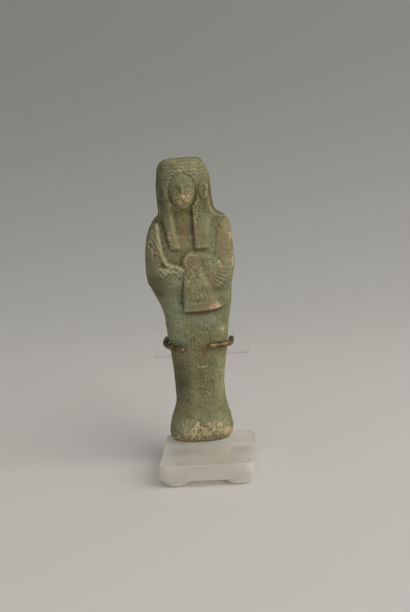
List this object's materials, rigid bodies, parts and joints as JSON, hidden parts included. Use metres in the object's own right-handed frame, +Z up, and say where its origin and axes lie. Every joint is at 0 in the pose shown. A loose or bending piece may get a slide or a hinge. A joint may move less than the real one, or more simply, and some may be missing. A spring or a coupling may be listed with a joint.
{
  "type": "ushabti figurine on a display stand",
  "caption": "Moulded green faience ushabti figurine standing on a clear block, held by a back plate with two curved rods.",
  "frame": {"origin": "bottom centre of the whole object's bounding box, on the surface that the stand's pads rest on", "axes": "+Z up along the figure, -Y the way the figure faces, +X to the right of someone looking at its face"},
  "size_m": [0.0462, 0.0524, 0.1412],
  "materials": {
    "faience": "worn matt olive-green glaze with bare tan and brownish patches and dark dirt in the hollows",
    "block_acrylic": "clear acrylic, slightly milky, with polished faces",
    "plate_acrylic": "clear polished acrylic sheet",
    "pad_rubber": "clear soft bumper",
    "rod_brass": "brass wire, darkened brown, slightly worn"
  },
  "bodies": {
    "root": {"ushabti": "faience", "base_block": "block_acrylic", "back_plate": "plate_acrylic", "cradle_arm_left": "rod_brass", "cradle_arm_right": "rod_brass", "foot_pad_front_left": "pad_rubber", "foot_pad_front_right": "pad_rubber", "foot_pad_back_left": "pad_rubber", "foot_pad_back_right": "pad_rubber"}
  },
  "joints": []
}
